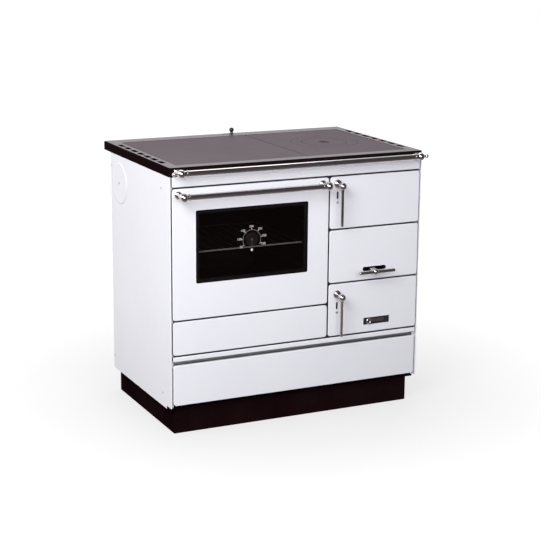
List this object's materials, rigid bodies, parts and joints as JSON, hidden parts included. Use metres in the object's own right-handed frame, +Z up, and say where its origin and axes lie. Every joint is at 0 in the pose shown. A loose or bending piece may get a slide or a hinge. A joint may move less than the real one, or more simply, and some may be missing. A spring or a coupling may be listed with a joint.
{
  "type": "wood cookstove",
  "caption": "Free-standing wood cookstove with oven, firebox and ash doors, cast hotplates, damper, grate shaker, fuel drawer and towel rail",
  "frame": {"origin": "centre of the bounding box, on the floor under the stove", "axes": "+X to the stove's right as seen from the front, +Y to the back, +Z up"},
  "size_m": [0.9074, 0.661, 0.8916],
  "materials": {
    "white_enamel": "glossy white vitreous enamel with a cool tint",
    "frame_enamel": "satin black-brown enamel",
    "plinth_paint": "matt dark brown paint",
    "hotplate_iron": "ground and blackened cast iron, satin",
    "cast_iron": "rough cast iron",
    "plain_steel": "dark rolled steel",
    "oven_enamel": "dark speckled oven enamel",
    "zinc": "galvanised sheet",
    "chrome": "polished chrome",
    "black_knob": "black glossy knob",
    "firebrick": "rough refractory brick",
    "seal_rope": "woven glass-fibre rope",
    "glass": "dark tinted oven glass"
  },
  "bodies": {
    "root": {"ash_box": "plain_steel", "ash_pan": "zinc", "base_plate": "zinc", "damper_seat": "cast_iron", "fascia_strip": "white_enamel", "firebrick_front": "firebrick", "firebrick_left": "firebrick", "firebrick_rear": "firebrick", "firebrick_right": "firebrick", "flue_spigot": "plain_steel", "front_plate": "plain_steel", "grate": "cast_iron", "grate_frame": "cast_iron", "hinge_strip": "plain_steel", "hotplate_left": "hotplate_iron", "hotplate_right": "hotplate_iron", "inner_partition": "zinc", "lower_rail": "white_enamel", "middle_panel": "white_enamel", "oven_box": "oven_enamel", "oven_hinge_left": "plain_steel", "oven_hinge_right": "plain_steel", "oven_rack": "chrome", "plinth_back": "plinth_paint", "plinth_front": "plinth_paint", "plinth_left": "plinth_paint", "plinth_right": "plinth_paint", "rear_panel": "zinc", "side_outlet_cover": "white_enamel", "side_panel_left": "white_enamel", "side_panel_right": "white_enamel", "soot_panel": "white_enamel", "top_frame": "frame_enamel", "towel_bracket_left": "chrome", "towel_bracket_right": "chrome", "towel_rail": "chrome"},
    "oven_door": {"oven_door_shell": "white_enamel", "oven_door_glass": "glass", "oven_door_inner": "plain_steel", "oven_door_seal": "seal_rope", "oven_thermometer": "chrome", "oven_handle_bracket_left": "chrome", "oven_handle_bracket_right": "chrome", "oven_handle_bar": "chrome"},
    "firebox_door": {"firebox_door_shell": "white_enamel", "firebox_door_inner": "cast_iron", "firebox_door_seal": "seal_rope"},
    "firebox_latch": {"firebox_latch": "chrome"},
    "ash_door": {"ash_door_shell": "white_enamel", "ash_door_inner": "cast_iron"},
    "ash_latch": {"ash_latch": "chrome"},
    "air_slide": {"air_slide": "chrome"},
    "shaker": {"grate_slide": "cast_iron", "shaker_handle": "chrome"},
    "drawer": {"drawer_front": "white_enamel", "drawer_tray": "zinc"},
    "damper": {"damper_knob": "black_knob", "damper_slide": "cast_iron"},
    "hotplate_ring": {"hotplate_ring": "hotplate_iron"},
    "hotplate_lid": {"hotplate_lid": "hotplate_iron"}
  },
  "joints": [
    {"name": "oven_door_hinge", "type": "hinge", "parent": "root", "child": "oven_door", "pos_m": [-0.16905, -0.266, 0.389], "axis": [1, 0, 0], "range_deg": [0, 90]},
    {"name": "firebox_door_hinge", "type": "hinge", "parent": "root", "child": "firebox_door", "pos_m": [0.4355, -0.2675, 0.7175], "axis": [0, 0, 1], "range_deg": [0, 110]},
    {"name": "ash_door_hinge", "type": "hinge", "parent": "root", "child": "ash_door", "pos_m": [0.4355, -0.2675, 0.3575], "axis": [0, 0, 1], "range_deg": [0, 110]},
    {"name": "firebox_latch_turn", "type": "hinge", "parent": "firebox_door", "child": "firebox_latch", "pos_m": [0.134, -0.2715, 0.7806], "axis": [0, -1, 0], "range_deg": [0, 75]},
    {"name": "ash_latch_turn", "type": "hinge", "parent": "ash_door", "child": "ash_latch", "pos_m": [0.1387, -0.2715, 0.4105], "axis": [0, -1, 0], "range_deg": [0, 75]},
    {"name": "air_slide_travel", "type": "slide", "parent": "ash_door", "child": "air_slide", "axis": [1, 0, 0], "range_m": [-0.01, 0.017]},
    {"name": "shaker_travel", "type": "slide", "parent": "root", "child": "shaker", "axis": [1, 0, 0], "range_m": [-0.006, 0.048]},
    {"name": "drawer_travel", "type": "slide", "parent": "root", "child": "drawer", "axis": [0, -1, 0], "range_m": [0, 0.38]},
    {"name": "damper_travel", "type": "slide", "parent": "root", "child": "damper", "axis": [1, 0, 0], "range_m": [-0.03, 0]},
    {"name": "hotplate_ring_lift", "type": "slide", "parent": "root", "child": "hotplate_ring", "axis": [0, 0, 1], "range_m": [0, 0.06]},
    {"name": "hotplate_lid_lift", "type": "slide", "parent": "hotplate_ring", "child": "hotplate_lid", "axis": [0, 0, 1], "range_m": [0, 0.06]}
  ]
}
